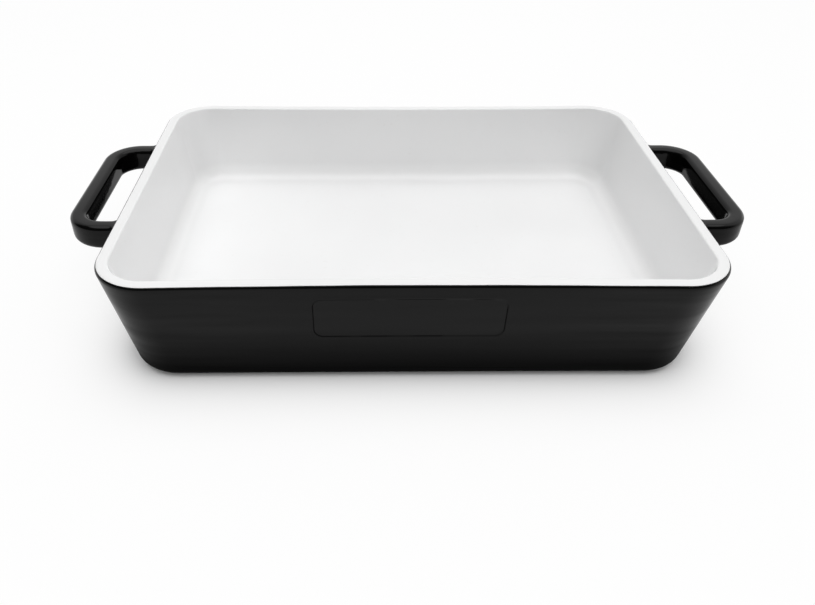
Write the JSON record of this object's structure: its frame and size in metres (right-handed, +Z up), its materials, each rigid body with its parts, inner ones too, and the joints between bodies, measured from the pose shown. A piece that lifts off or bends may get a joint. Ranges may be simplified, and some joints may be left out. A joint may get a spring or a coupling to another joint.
{
  "type": "lasagna dish",
  "caption": "Deep rectangular stoneware oven dish with loop handles at its ends, glazed white inside and black outside, standing on an unglazed foot ring.",
  "frame": {"origin": "middle of the base on the surface that the dish stands on", "axes": "+X along the dish to the right-hand handle, +Y to the back, +Z up; the plain front wall faces -Y"},
  "size_m": [0.39, 0.2328, 0.066],
  "materials": {
    "stoneware": "bare fired stoneware, matt and slightly rough",
    "white_glaze": "glossy white glaze",
    "black_glaze": "glossy black glaze"
  },
  "bodies": {
    "root": {"stoneware_tub": "stoneware", "left_handle": "stoneware", "right_handle": "stoneware", "left_handle_slip": "stoneware", "right_handle_slip": "stoneware", "white_liner_glaze": "white_glaze", "black_outer_glaze": "black_glaze", "black_underside_glaze": "black_glaze"}
  },
  "joints": []
}
